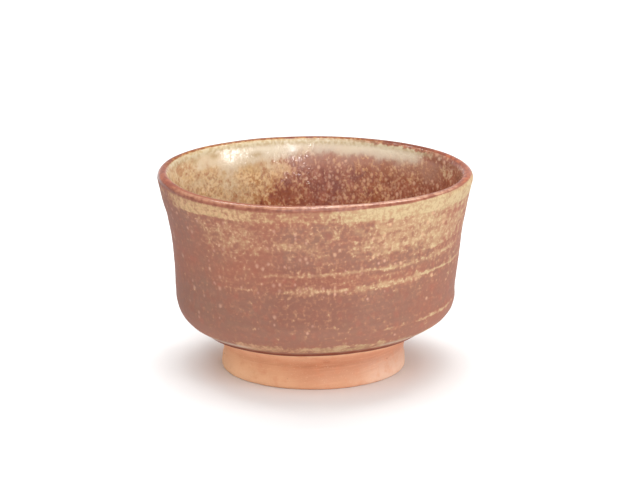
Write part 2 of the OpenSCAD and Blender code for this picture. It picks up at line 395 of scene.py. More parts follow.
# ---------------------------------------------------------------- where the glaze did what: inside
def inner_layers(z, s):
    """cream: how much cream there is; olive: how olive and milky it is; orange: how orange; lip: the red-brown
    lip; white: the milky band under the far rim, reaching lower under the left reflection as a painted highlight;
    plum: smooth lighter brown below that band, lightened partly as a painted sheen; deep: the pooled floor."""
    deg = DEG + 0 * z
    d360 = np.where(deg < -90, deg + 360, deg)  # -90 to 270, unbroken over the far side
    slow = fbm(COS * 2.4, SIN * 2.4, z / 9, 71)
    mid = fbm(COS * 6, SIN * 6, z / 3.5, 72)
    # the cream side is on the left, the red-brown side from the middle to the right
    leftness = smooth(95, 116, d360 + 8 * mid + 1.8 * (z - 38)) * smooth(262, 222, d360 + 7 * mid)
    fade = smooth(25, 49, d360 + 4 * mid) * smooth(174, 126, d360)
    moss = np.clip(bell(d360 - 136, 3.4) * bell(z - 42.8, 0.75) + 0.9 * bell(d360 - 149, 4.0) * bell(z - 42.9, 0.8) + bell(d360 - 115.5, 3.0) * bell(z - 41.6, 0.7), 0, 1)
    # a small bright white spot on the far wall: a painted highlight
    painted_glint = np.clip(1.3 * bell(d360 - 99.5, 1.35) * bell(z - 42.4, 0.6), 0, 1)
    # the milky band reaches lower under the bright reflection on the left, near 128 degrees: that part is a painted
    # highlight
    white = smooth(1.0, 1.5, s) * smooth(8.2, 2.8, s + 0.7 * mid + 0.9 * smooth(112, 84, d360) - 0.6 * bell(d360 - 56, 11) - 2.3 * bell(d360 - 128.5, 6) + 0.9 * smooth(45, 35, d360)) * fade * (1 - 0.16 * bell(d360 - 93, 13))
    floor = smooth(17.5, 11.0, z)
    # plum: a lighter smooth brown below the band, lightened partly as a painted sheen
    plum = smooth(2.4, 4.0, s) * smooth(9.5, 5.5, s + 0.9 * mid) * smooth(16, 34, d360) * smooth(112, 94, d360 + 5 * mid)
    grain = 0.62 + 0.10 * slow + 0.10 * mid - 0.42 * plum - 0.20 * smooth(50, 20, d360) * smooth(-60, -20, d360)
    grain = grain - 0.3 * white + 0.1 * floor + 0.30 * smooth(40, 37, z) * smooth(12, 30, d360) * smooth(92, 76, d360) + 0.28 * bell(d360 - 56, 10) * smooth(41, 38.5, z)
    cream = 0.30 + 0.05 * slow + 0.04 * mid
    cream = cream + 0.50 * leftness + 0.10 * smooth(88, 106, d360 + 5 * mid) * (1 - leftness) + 0.20 * floor
    patch = bell(d360 - 20, 9) * bell(z - 41.5, 2.1)
    cream = cream + 0.24 * patch + 0.06 * bell(d360 - 56, 11) * smooth(40.5, 38, z)
    olive = np.clip(0.85 * leftness + 0.25 * slow + 0.7 * patch + 0.35 * floor, 0, 1)
    low = smooth(39.4, 36.0, z)
    orange = np.clip(0.12 + 0.60 * smooth(135, 113, d360) * smooth(86, 106, d360) * low
                     + 0.5 * bell(d360 - 66, 12) * smooth(40.5, 38.0, z) + 0.3 * slow + 0.25 * mid, 0, 1)
    blotch = np.clip(leftness * (0.16 + 0.12 * low + 0.60 * low * bell(d360 - 160, 15)) + 0.25 * mid, 0, 1)
    lip = smooth(1.1, 0.7, s + 0.12 * fbm(COS * 7, SIN * 7, 3.4, 74))
    far_rim = smooth(24, 46, d360 + 5 * fbm(COS * 5, SIN * 5, 8.1, 38)) * smooth(184, 164, d360)
    lip = lip * (1 - far_rim)
    tongues = 0.6 * noise(COS * 24, SIN * 24, 6.3, 75) + 0.4 * noise(COS * 55, SIN * 55, 2.2, 80)
    lip = np.maximum(lip, far_rim * smooth(80, 58, d360) * smooth(1.75, 1.35, s - 1.1 * tongues))
    milk = far_rim * smooth(3.0, 1.8, s)
    return dict(cream=np.clip(cream, 0, 1), olive=olive, orange=orange, lip=lip, white=white, plum=plum, milk=milk, painted_glint=painted_glint, moss=moss,
                grain=np.clip(grain, 0, 1), blotch=blotch, deep=np.clip(floor + 0 * z, 0, 1))


# ---------------------------------------------------------------- pieces
def far_height(z):
    a, b = spiral(z)
    return dict(ha=a, hb=b, far=FAR + 0 * z)


def make_outer():
    s_wall = OUT.s_at_height(43.3)
    s_end = OUT.length - 0.55
    s0 = 1.2 + 0.42 * fbm(COS * 2.1, SIN * 2.1, 5.5, 31, 2) + 0.10 * noise(COS * 9, SIN * 9, 1.1, 33)
    base = np.concatenate([
        [0.0, 0.06, 0.14, 0.24, 0.36, 0.5, 0.66, 0.84, 1.04, 1.28, 1.55, 1.85],
        np.linspace(2.17, s_wall, 104),
        np.linspace(s_wall, s_end, 28)[1:],
    ])
    s = base[:, None] + s0[None] * np.clip(1 - base / 9.0, 0, 1)[:, None]
    p, n = OUT.at(s), OUT.normal(s)
    z = p[..., 1]
    phi = np.degrees((s - OUT.length) / LIP_R) + 165
    lay = outer_layers(z, s - s0 + 0 * z, phi)
    # the glaze ends in a low rolled bead that stands on the clay
    e = base[:, None] + 0 * s
    bead = np.where(e < 0.5, -GLAZE_T - 0.06 + (GLAZE_T + 0.14) * np.sqrt(np.clip(1 - (1 - e / 0.5) ** 2, 0, 1)), 0.08 * smooth(2.6, 0.5, e))
    fade = smooth(0.4, 2.0, e) * smooth(44.4, 42.5, z)
    relief = fade * (marks(z, ((2.3, 0.035, 1.1), (1.15, 0.016, 2.0), (5.5, 0.035, 0.8)), 101)
                     + 0.022 * fbm(p[..., 0] * COS / 2.6, p[..., 0] * SIN / 2.6, z / 2.2, 111)
                     + 0.030 * (lay["cream"] - 0.3))
    # over the lip it thins to nothing on the inner side
    sink = -0.14 * smooth(s_end - 0.8, s_end, base)[:, None]
    off = bead + relief + sink
    r, zz = p[..., 0] + n[..., 0] * off, z + n[..., 1] * off
    # back along the clay, hidden
    sb = np.linspace(s_end - 0.25, 0.35, 18)[:, None] + 0 * s0
    sb = np.where(sb < 9, sb + (s0 - 1.2 + 0.55) * np.clip(1 - sb / 9.0, 0, 1) + 0.6 * np.clip(1 - sb / 9.0, 0, 1), sb)
    pb, nb = OUT.at(sb), OUT.normal(sb)
    rb, zb = pb[..., 0] - nb[..., 0] * 0.42, pb[..., 1] - nb[..., 1] * 0.42
    R, Z = np.concatenate([r, rb]), np.concatenate([zz, zb])
    shown = [True] * (len(base) - 1) + [False] * (len(sb) + 1)
    layers = {k: np.concatenate([v + 0 * s, np.repeat((v + 0 * s)[-1:], len(sb), 0)]) for k, v in lay.items()}
    hs = far_height(Z)
    layers.update(hs)
    v = map_rows(np.stack([R[:, 0], Z[:, 0]], 1), shown)
    return lathe("glaze_outside", warp(R, Z), v, layers=layers)


def make_inner():
    base = np.concatenate([np.linspace(0.0, 3.2, 22), np.linspace(3.2, INN.length - 1.2, 118)[1:]])
    s = base[:, None] + 0 * TH
    p, n = INN.at(s), INN.normal(s)
    z = p[..., 1]
    lay = inner_layers(z, s)
    # under the outer coat at the crest, then flush with it
    off = -0.09 * smooth(2.3, 1.2, s)
    fade = smooth(2.0, 5.0, s)
    off = off + fade * (marks(z, ((4.2, 0.075, 1.2), (1.9, 0.026, 1.8)), 131)
                        + 0.030 * fbm(p[..., 0] * COS / 3.0, p[..., 0] * SIN / 3.0, z / 3.0, 141)
                        + 0.020 * (lay["cream"] - 0.4))
    # finger spiral on the floor
    rr = p[..., 0]
    swirl = 0.06 * np.sin(2 * np.pi * (rr / 4.6 - (DEG + 270) / 360)) * smooth(2.0, 5.0, rr) * smooth(21, 15, rr)
    off = off + swirl * smooth(17, 12, z)
    r, zz = p[..., 0] + n[..., 0] * off, z + n[..., 1] * off
    sb = np.linspace(INN.length - 1.0, 0.6, 20)[:, None] + 0 * TH
    pb, nb = INN.at(sb), INN.normal(sb)
    rb, zb = pb[..., 0] - nb[..., 0] * 0.42, pb[..., 1] - nb[..., 1] * 0.42
    # one closed skin: up the hidden side from the axis to the lip, over, and down the shown side to the axis
    R, Z = np.concatenate([rb, r]), np.concatenate([zb, zz])
    layers = {k: np.concatenate([np.repeat((v + 0 * s)[:1], len(sb), 0), v + 0 * s]) for k, v in lay.items()}
    layers.update(far_height(Z))
    shown = [False] * len(sb) + [True] * len(base)
    v = map_rows(np.stack([R[:, 0], Z[:, 0]], 1), shown)[:-1]
    W = warp(R, Z)
    top = [0.0, 0.0, W[-1, :, 2].mean()]
    bot = [0.0, 0.0, W[0, :, 2].mean()]
    return lathe("glaze_inside", W, np.append(v, 1.0), pole_start=bot, pole_end=top, layers=layers)


def clay_layers(z):
    return dict(far_height(z))


def make_bowl():
    # ceiling of the hollow under the foot, then the cove, then the clay under both coats
    bare_end = GLAZE_LINE + GLAZE_T * turn(under_dir)
    cove = bezier(np.array([FOOT_TOP_R, FOOT_H]), np.array([FOOT_TOP_R, FOOT_H + 1.3]), bare_end - 2 * under_dir, bare_end, 16)
    rc = np.linspace(0.35, FOOT_IN_R - 0.3, 44)
    ceil_r = np.concatenate([rc, np.linspace(FOOT_IN_R - 0.1, FOOT_TOP_R - 0.05, 5)])
    ceil_z = np.full(len(ceil_r), FOOT_H)
    so = np.linspace(1.2, OUT.length - 1.55, 26)[1:]
    po, no = OUT.at(so), OUT.normal(so)
    oc = po - no * GLAZE_T
    si = np.linspace(1.6, INN.length - 0.8, 26)
    pi_, ni = INN.at(si), INN.normal(si)
    ic = pi_ - ni * GLAZE_T
    near = OUT.at(np.linspace(1.2, 4.0, 9)) - OUT.normal(np.linspace(1.2, 4.0, 9)) * GLAZE_T
    so_keep = so > 4.4
    prof = np.concatenate([np.stack([ceil_r, ceil_z], 1), cove, near[1:], oc[so_keep], ic])
    R = prof[:, 0][:, None] + 0 * TH
    Z = prof[:, 1][:, None] + 0 * TH
    # trimming spiral and the small peak that the tool leaves in the middle
    nc = len(ceil_r)
    rr = R[:nc]
    turned = 0.16 * np.sin(2 * np.pi * (rr / 2.1 - (DEG + 270) / 360)) * smooth(0.6, 2.0, rr) * smooth(15.2, 14.0, rr)
    peak = -0.75 * bell(rr, 1.7)
    edge = -0.45 * smooth(12.8, 15.1, rr) ** 2
    Z[:nc] = Z[:nc] + 0.28 + turned * 0.8 + peak + edge * 0.9
    Z[nc - 5:nc] = FOOT_H
    Z[nc - 6] = FOOT_H + 0.02
    ncv = len(cove)
    zc = Z[nc:nc + ncv]
    R[nc:nc + ncv] += smooth(0, 0.5, zc - FOOT_H) * marks(zc, ((0.9, 0.03, 1.4), (0.45, 0.012, 2.0)), 161) + 0.02 * noise(COS * 6, SIN * 6, zc, 163)
    # keep the clay under the glaze a little below the coats' own hidden faces
    shown = [True] * (nc + ncv + 4) + [False] * (len(prof) - nc - ncv - 4)
    v = map_rows(prof, shown)
    W = warp(R, Z)
    bot = [0.0, 0.0, W[0, :, 2].mean() - 0.02]
    top = [0.0, 0.0, W[-1, :, 2].mean()]
    return lathe("clay_bowl", W, v, pole_start=bot, pole_end=top, layers=clay_layers(Z))


def make_foot():
    e = arc((FOOT_R - FOOT_EDGE, FOOT_EDGE), FOOT_EDGE, -90, 0, 8)
    side = bezier(np.array([FOOT_R, FOOT_EDGE]), np.array([FOOT_R, FOOT_H * 0.4]), np.array([FOOT_TOP_R, FOOT_H * 0.6]), np.array([FOOT_TOP_R, FOOT_H]), 34)
    top = np.array([[FOOT_TOP_R - 0.6, FOOT_H + 0.12], [18.0, FOOT_H + 0.12], [FOOT_IN_R - 0.2, FOOT_H + 0.12]])
    inner = np.stack([np.linspace(FOOT_IN_R - 0.75, FOOT_IN_R - 0.05, 22), np.linspace(FOOT_H - 0.05, 0.75, 22)], 1)
    e2 = arc((FOOT_IN_R + 0.55, 0.6), 0.6, 180, 270, 7)
    flat = np.stack([np.linspace(FOOT_IN_R + 0.8, FOOT_R - FOOT_EDGE - 0.2, 22), np.zeros(22)], 1)
    prof = np.concatenate([e, side[1:], top, inner, e2, flat])
    R = prof[:, 0][:, None] + 0 * TH
    Z = prof[:, 1][:, None] + 0 * TH
    ns = len(e) + len(side) - 1
    zs = Z[:ns]
    away = smooth(0.0, 0.5, zs)
    R[:ns] += away * (marks(zs, ((1.3, 0.035, 1.2), (0.55, 0.016, 2.2)), 171) + 0.05 * noise(COS * 1.9, SIN * 1.9, zs / 5, 175)
                      + 0.014 * noise(COS * 26, SIN * 26, zs * 1.6, 176))
    R[:ns] += -0.16 * smooth(2.6, 3.9, zs) * smooth(5.6, 4.6, zs)
    ni = ns + 3
    zi = Z[ni:ni + 22]
    R[ni:ni + 22] += marks(zi, ((1.1, 0.04, 1.3),), 181)
    # the ground foot has a few shallow nicks along its outer edge, all above the table
    nick = 0
    for a, wide, deep in ((-128, 1.2, 0.16), (-58, 0.9, 0.12), (20, 1.6, 0.2), (73, 1.0, 0.14), (-222, 1.3, 0.18), (-171, 0.8, 0.10)):
        nick = nick + deep * bell((DEG - a) * 0.36, wide)
    R[:len(e) + 3] -= nick * smooth(1.4, 0.2, Z[:len(e) + 3])
    shown = [True] * (ns - 1) + [False] * 4 + [True] * (len(prof) - ns - 3)
    v = map_rows(prof, shown)
    return lathe("clay_foot", warp(R, Z), v, layers=clay_layers(Z))


# ---------------------------------------------------------------- node materials
def srgb(r, g, b):
    def f(c):
        c = c / 255
        return c / 12.92 if c <= 0.04045 else ((c + 0.055) / 1.055) ** 2.4
    return (f(r), f(g), f(b), 1.0)


class Mat:
    """A short way to write a node material."""

    def __init__(self, name):
        self.mat = bpy.data.materials.new(name)
        self.mat.use_nodes = True
        self.t = self.mat.node_tree
        self.t.nodes.clear()
        self.out = self.t.nodes.new("ShaderNodeOutputMaterial")
        self.bsdf = self.t.nodes.new("ShaderNodeBsdfPrincipled")
        self.t.links.new(self.bsdf.outputs[0], self.out.inputs["Surface"])
        tc = self.t.nodes.new("ShaderNodeTexCoord")
        self.mm = self.vec("SCALE", tc.outputs["Object"], scale=1000.0)  # object coordinates in mm
        sep = self.t.nodes.new("ShaderNodeSeparateXYZ")
        self.t.links.new(self.mm, sep.inputs[0])
        self.x, self.y, self.z = sep.outputs

    def put(self, value, socket):
        if isinstance(value, bpy.types.NodeSocket):
            self.t.links.new(value, socket)
        elif value is not None:
            socket.default_value = value

    def math(self, op, a, b=None, c=None, clamp=False):
        n = self.t.nodes.new("ShaderNodeMath")
        n.operation, n.use_clamp = op, clamp
        for v, s in zip((a, b, c), n.inputs):
            self.put(v, s)
        return n.outputs[0]

    def add(self, *v):
        out = v[0]
        for w in v[1:]:
            out = self.math("ADD", out, w)
        return out

    def mul(self, *v):
        out = v[0]
        for w in v[1:]:
            out = self.math("MULTIPLY", out, w)
        return out

    def vec(self, op, a, b=None, scale=None):
        n = self.t.nodes.new("ShaderNodeVectorMath")
        n.operation = op
        self.put(a, n.inputs[0])
        if b is not None:
            self.put(b, n.inputs[1])
        if scale is not None:
            n.inputs["Scale"].default_value = scale
        return n.outputs["Value" if op == "LENGTH" else "Vector"]

    def comb(self, x, y, z):
        n = self.t.nodes.new("ShaderNodeCombineXYZ")
        for v, s in zip((x, y, z), n.inputs):
            self.put(v, s)
        return n.outputs[0]

    def attr(self, name):
        n = self.t.nodes.new("ShaderNodeAttribute")
        n.attribute_name = name
        return n.outputs["Fac"]

    def noise(self, vec, scale=1.0, detail=2.0, rough=0.5, distort=0.0):
        n = self.t.nodes.new("ShaderNodeTexNoise")
        self.put(vec, n.inputs["Vector"])
        n.inputs["Scale"].default_value = scale
        n.inputs["Detail"].default_value = detail
        n.inputs["Roughness"].default_value = rough
        n.inputs["Distortion"].default_value = distort
        return n.outputs["Fac"]

    def cells(self, vec, scale=1.0, rand=1.0):
        n = self.t.nodes.new("ShaderNodeTexVoronoi")
        self.put(vec, n.inputs["Vector"])
        n.inputs["Scale"].default_value = scale
        n.inputs["Randomness"].default_value = rand
        sep = self.t.nodes.new("ShaderNodeSeparateColor")
        self.t.links.new(n.outputs["Color"], sep.inputs[0])
        return n.outputs["Distance"], sep.outputs[0], sep.outputs[1]

    def step(self, x, lo, hi, a=0.0, b=1.0):
        n = self.t.nodes.new("ShaderNodeMapRange")
        n.interpolation_type = "SMOOTHSTEP"
        for v, s in zip((x, lo, hi, a, b), n.inputs):
            self.put(v, s)
        return n.outputs[0]

    def lin(self, x, lo, hi, a=0.0, b=1.0):
        n = self.t.nodes.new("ShaderNodeMapRange")
        n.clamp = True
        for v, s in zip((x, lo, hi, a, b), n.inputs):
            self.put(v, s)
        return n.outputs[0]

    def mix(self, fac, a, b):
        n = self.t.nodes.new("ShaderNodeMix")
        n.data_type = "RGBA"
        self.put(fac, n.inputs["Factor"])
        for v, s in ((a, n.inputs[6]), (b, n.inputs[7])):
            self.put(v, s)
        return n.outputs[2]

    def mixf(self, fac, a, b):
        n = self.t.nodes.new("ShaderNodeMix")
        n.data_type = "FLOAT"
        self.put(fac, n.inputs["Factor"])
        self.put(a, n.inputs[2])
        self.put(b, n.inputs[3])
        return n.outputs[0]

    def bump(self, height, mm, strength=1.0, normal=None):
        n = self.t.nodes.new("ShaderNodeBump")
        n.inputs["Strength"].default_value = strength
        n.inputs["Distance"].default_value = mm * MM
        self.put(height, n.inputs["Height"])
        if normal is not None:
            self.t.links.new(normal, n.inputs["Normal"])
        return n.outputs[0]

    def along(self, round_scale, up_scale, detail=3.0, rough=0.55):
        """Noise drawn out along the wheel's spiral; the two attributes are its height from either side."""
        far, out = self.attr("far"), []
        for h in ("ha", "hb"):
            v = self.comb(self.mul(self.x, round_scale), self.mul(self.y, round_scale), self.mul(self.attr(h), up_scale))
            out.append(self.noise(v, 1.0, detail, rough))
        return self.mixf(far, *out)


def outer_material():
    m = Mat("outer_glaze_stoneware")
    cov, warm, lip, bandy, right = (m.attr(k) for k in ("cream", "warm", "lip", "bandy", "right"))
    dark, dull, lone, ochre, milk = (m.attr(k) for k in ("dark", "dull", "specks", "ochre", "milk"))
    painted_floor_reflection = m.attr("painted_floor_reflection")
    tall = m.comb(m.x, m.mul(m.y, 0.58), m.mul(m.z, 0.85))
    g1 = m.noise(tall, 1.36, 0.8, 0.5)
    g2 = m.noise(m.vec("ADD", tall, (31.0, 7.0, 3.0)), 2.6, 1.0, 0.5)
    g3 = m.noise(m.vec("ADD", m.mm, (5.0, 17.0, 9.0)), 0.55, 2.0, 0.5)
    fine = m.along(0.30, 2.0, 2.0)
    n = m.add(m.mul(g1, 0.52), m.mul(g2, 0.18), m.mul(g3, 0.10), m.mul(fine, 0.20))
    over = m.math("SUBTRACT", n, m.lin(cov, 0.0, 1.0, 0.695, 0.285))
    halo = m.step(over, -0.150, 0.010)
    cream = m.step(over, -0.065, 0.110)
    rich = m.step(m.add(over, m.mul(m.math("SUBTRACT", g2, 0.5), 0.5)), 0.040, 0.170)
    veil = m.step(m.add(cov, m.mul(m.math("SUBTRACT", g3, 0.5), 0.8)), 0.26, 0.66)
    # lone specks, one in each cell that has one
    d, pick, size = m.cells(m.comb(m.x, m.mul(m.y, 0.55), m.mul(m.z, 0.80)), 0.85)
    cut = m.math("SUBTRACT", 1.0, m.mul(lone, 0.60))
    has = m.step(pick, cut, m.add(cut, 0.02))
    spot = m.mul(has, m.step(d, m.lin(size, 0, 1, 0.32, 0.56), 0.04))
    spot = m.mul(spot, m.math("SUBTRACT", 1.0, m.mul(veil, 0.5)))
    # brown ground, softly mottled warm and grey
    cloud = m.noise(m.mm, 0.16, 3.0, 0.6)
    mott = m.noise(m.mm, 0.85, 2.0, 0.55)
    tint = m.noise(m.vec("ADD", m.mm, (3.0, 41.0, 13.0)), 0.42, 2.0, 0.6)
    drag = m.along(0.10, 1.10)
    ground = m.mix(m.step(m.add(m.mul(dull, 0.6), m.mul(cloud, 0.5)), 0.30, 0.85), srgb(149, 97, 80), srgb(136, 98, 84))
    ground = m.mix(m.mul(m.step(tint, 0.50, 0.68), 0.22), ground, srgb(156, 90, 73))
    ground = m.mix(m.mul(m.step(tint, 0.46, 0.32), 0.25), ground, srgb(140, 108, 87))
    ground = m.mix(m.mul(m.step(drag, 0.58, 0.38), 0.18), ground, srgb(130, 85, 70))
    ground = m.mix(m.mul(m.step(mott, 0.50, 0.70), 0.25), ground, srgb(166, 115, 92))
    # painted light from the floor: the lower body lighter and greyer
    ground = m.mix(m.mul(m.attr("below"), 0.50), ground, srgb(168, 116, 98))
    # painted shade on the lower front wall
    ground = m.mix(m.mul(m.attr("shade"), 0.42), ground, srgb(128, 82, 69))
    rd, rpick, rsize = m.cells(m.comb(m.x, m.mul(m.y, 0.55), m.mul(m.z, 0.80)), 0.50)
    red = m.mul(m.step(rpick, 0.70, 0.74), m.step(rd, m.lin(rsize, 0, 1, 0.30, 0.60), 0.05))
    ground = m.mix(m.mul(red, 0.24), ground, srgb(170, 94, 78))
    # cream crystals in a thin ochre veil
    pale = m.mix(warm, srgb(184, 140, 114), srgb(179, 155, 119))
    pale = m.mix(m.mul(m.step(g3, 0.48, 0.66), 0.6), pale, srgb(176, 155, 116))
    pale = m.mix(m.mul(bandy, 0.8), pale, m.mix(right, srgb(186, 161, 113), srgb(176, 157, 119)))
    bright = m.mix(right, srgb(202, 160, 128), srgb(196, 174, 138))
    thin = m.mix(right, srgb(164, 120, 94), srgb(177, 145, 112))
    col = m.mix(m.mul(veil, 0.85), ground, thin)
    col = m.mix(m.mul(halo, 0.52), col, m.mix(veil, srgb(168, 118, 92), srgb(174, 136, 104)))
    col = m.mix(m.mul(cream, m.mixf(veil, 0.62, 0.74)), col, pale)
    col = m.mix(m.mul(rich, cream, 0.55), col, bright)
    speck = m.mix(m.step(size, 0.3, 0.7), srgb(196, 150, 130), m.mix(right, srgb(196, 152, 130), srgb(208, 168, 134)))
    col = m.mix(m.mul(spot, m.mixf(right, 0.55, 0.80)), col, speck)
    # lip and the thin dark edges
    phi = m.mul(m.attr("crest"), 180.0)
    worn = m.step(m.add(m.mul(g3, 0.5), m.mul(g1, 0.5), m.mul(m.math("SUBTRACT", fine, 0.5), 0.6)), 0.36, 0.64)
    low = m.mix(worn, srgb(122, 70, 52), srgb(148, 92, 72))
    # the upper part of the lip is lighter, more so on the right: partly thin glaze, partly a painted highlight
    top = m.mix(worn, m.mix(right, srgb(152, 98, 76), srgb(156, 98, 78)), m.mix(right, srgb(176, 124, 96), srgb(188, 140, 114)))
    lipc = m.mix(m.step(m.add(phi, m.mul(m.math("SUBTRACT", worn, 0.5), 6.0)), m.mixf(right, 28.0, 42.0), m.mixf(right, 46.0, 58.0)), low, top)
    lipc = m.mix(m.step(phi, m.mixf(right, 62.0, 88.0), m.mixf(right, 76.0, 100.0)), lipc, srgb(150, 82, 52))
    # at the two ends the lip is a saturated red, darker towards its outer edge: that edge is painted shade
    lipc = m.mix(m.attr("ends"), lipc, m.mix(m.step(phi, 12.0, 55.0), srgb(112, 62, 48), m.mix(worn, srgb(142, 66, 42), srgb(178, 98, 62))))
    col = m.mix(lip, col, lipc)
    col = m.mix(m.mul(ochre, 0.9), col, m.mix(m.step(g1, 0.40, 0.62), srgb(140, 80, 42), srgb(172, 122, 72)))
    col = m.mix(milk, col, m.mix(m.step(g1, 0.40, 0.62), srgb(182, 156, 114), srgb(200, 184, 150)))
    # painted reflection of the floor: a pale grey line on the underside
    col = m.mix(m.mul(painted_floor_reflection, m.step(g1, 0.34, 0.52, 0.50, 0.80)), col, srgb(198, 183, 168))
    # dark glaze at the rolled edge and under the lip, and painted shade on the far left of the front
    col = m.mix(m.mul(dark, 0.85), col, srgb(118, 56, 40))
    m.put(col, m.bsdf.inputs["Base Color"])
    m.put(m.add(m.mixf(cream, 0.56, 0.62), m.mul(m.math("SUBTRACT", mott, 0.5), 0.16)), m.bsdf.inputs["Roughness"])
    m.bsdf.inputs["Specular IOR Level"].default_value = 0.07
    # the glossy clear glaze over the lip
    m.put(m.mul(m.attr("gloss"), 0.80), m.bsdf.inputs["Coat Weight"])
    m.bsdf.inputs["Coat Roughness"].default_value = 0.17
    m.bsdf.inputs["Coat IOR"].default_value = 1.52
    h = m.add(m.mul(cream, 0.55), m.mul(spot, 0.5), m.mul(g2, 0.6), m.mul(fine, 0.6))
    h = m.mul(h, m.step(m.z, 44.3, 43.8, 0.20, 1.0))
    m.put(m.bump(h, 0.040, 0.9), m.bsdf.inputs["Normal"])
    return m.mat


def inner_material():
    m = Mat("inner_glaze_stoneware")
    cov, olive, orange, lip, milk = (m.attr(k) for k in ("cream", "olive", "orange", "lip", "milk"))
    white, plum, blotch, deep, grain = (m.attr(k) for k in ("white", "plum", "blotch", "deep", "grain"))
    painted_glint, moss = m.attr("painted_glint"), m.attr("moss")
    runs = m.comb(m.x, m.mul(m.y, 0.52), m.mul(m.z, 0.80))
    g1 = m.noise(runs, 1.36, 0.8, 0.5)
    g2 = m.noise(m.vec("ADD", runs, (11.0, 5.0, 8.0)), 2.6, 1.0, 0.5)
    mott = m.noise(runs, 0.55, 3.0, 0.6)
    big = m.noise(m.vec("ADD", runs, (7.0, 2.0, 19.0)), 0.27, 3.0, 0.6)
    n = m.add(m.mul(g1, 0.50), m.mul(g2, 0.20), m.mul(mott, 0.30))
    n = m.mixf(m.mul(olive, 0.85), n, m.add(m.mul(g1, 0.30), m.mul(g2, 0.12), m.mul(mott, 0.55), m.mul(big, 0.45), -0.21))
    over = m.math("SUBTRACT", n, m.lin(cov, 0.0, 1.0, 0.695, 0.285))
    halo = m.step(over, -0.140, 0.010)
    cream = m.step(over, -0.060, 0.085)
    # round specks in two sizes, one in each cell that has one
    grains = []
    for scale, soft, shift in ((0.80, 0.46, 0.0), (1.30, 0.46, 17.0)):
        d, pick, size = m.cells(m.vec("ADD", runs, (shift, 0.5 * shift, 3.0)), scale)
        cut = m.math("SUBTRACT", 1.0, grain)
        has = m.mul(m.step(pick, cut, m.add(cut, 0.10)), m.lin(size, 0, 1, 0.35, 1.0))
        grains.append(m.mul(has, m.step(d, soft, 0.10)))
    dots = m.math("MAXIMUM", grains[0], m.mul(grains[1], 0.65))
    ground = m.mix(m.step(mott, 0.36, 0.66), srgb(130, 64, 46), srgb(162, 92, 68))
    ground = m.mix(m.mul(m.step(big, 0.40, 0.60), 0.35), ground, srgb(134, 62, 42))
    # lighter smooth brown below the milky band, partly a painted sheen
    ground = m.mix(m.mul(plum, 0.70), ground, srgb(176, 132, 112))
    ground = m.mix(m.mul(orange, m.step(big, 0.40, 0.56), 0.65), ground, srgb(172, 104, 60))
    ground = m.mix(m.step(cov, 0.42, 0.62, 0.0, 0.85), ground, srgb(176, 120, 78))
    dotc = m.mix(orange, srgb(226, 182, 156), srgb(222, 172, 116))
    pale = m.mix(olive, srgb(206, 160, 130), srgb(216, 196, 158))
    pale = m.mix(m.mul(olive, m.step(big, 0.46, 0.62), 0.75), pale, srgb(198, 164, 114))
    pale = m.mix(m.mul(olive, m.step(mott, 0.52, 0.66), 0.68), pale, srgb(228, 214, 184))
    pale = m.mix(m.mul(orange, m.step(mott, 0.38, 0.60), 0.72), pale, srgb(212, 162, 98))
    pale = m.mix(m.mul(blotch, m.step(n, 0.48, 0.37), 0.80), pale, srgb(158, 98, 64))
    busy = m.math("MAXIMUM", orange, blotch)
    pale = m.mix(m.mul(busy, m.step(g1, 0.50, 0.62), 0.55), pale, srgb(228, 182, 122))
    pale = m.mix(m.mul(busy, m.step(g2, 0.47, 0.36), 0.60), pale, srgb(176, 110, 64))
    g4 = m.noise(m.vec("ADD", runs, (23.0, 1.0, 13.0)), 1.75, 1.0, 0.5)
    pale = m.mix(m.mul(busy, m.step(g4, 0.46, 0.38), 0.66), pale, srgb(162, 96, 56))
    pale = m.mix(m.mul(busy, m.step(g4, 0.50, 0.60), 0.75), pale, srgb(240, 210, 164))
    pale = m.mix(m.mul(olive, m.step(g1, 0.46, 0.36), 0.30), pale, srgb(188, 140, 100))
    pale = m.mix(m.mul(olive, m.step(mott, 0.46, 0.34), 0.60), pale, srgb(188, 142, 106))
    pale = m.mix(m.mul(olive, m.step(m.add(m.mul(big, 0.6), m.mul(mott, 0.4)), 0.48, 0.40), 0.78), pale, srgb(176, 126, 82))
    col = m.mix(m.mul(dots, 0.95), ground, dotc)
    col = m.mix(m.mul(halo, 0.40), col, srgb(176, 118, 88))
    col = m.mix(m.math("MAXIMUM", m.mul(cream, m.lin(olive, 0.0, 0.7, 0.72, 0.95)), m.mul(m.step(cov, 0.60, 0.76), 0.45)), col, pale)
    drips = m.noise(m.comb(m.x, m.y, m.mul(m.z, 0.22)), 1.1, 2.0, 0.6)
    # milky band, partly a painted highlight below the bright reflection on the left
    col = m.mix(m.mul(white, m.step(m.add(m.mul(white, 0.8), m.mul(n, 0.4), m.mul(drips, 0.55), -0.07), 0.55, 0.95)), col, srgb(224, 212, 188))
    ends = m.mul(white, m.step(m.math("ABSOLUTE", m.add(m.x, 5.0)), 8.0, 18.0), m.step(m.x, 12.0, 6.0))
    col = m.mix(m.mul(ends, 0.40), col, srgb(206, 174, 120))
    col = m.mix(m.mul(deep, 0.35), col, srgb(166, 128, 94))
    col = m.mix(m.mul(moss, m.step(mott, 0.36, 0.58, 0.35, 0.85)), col, srgb(172, 142, 94))
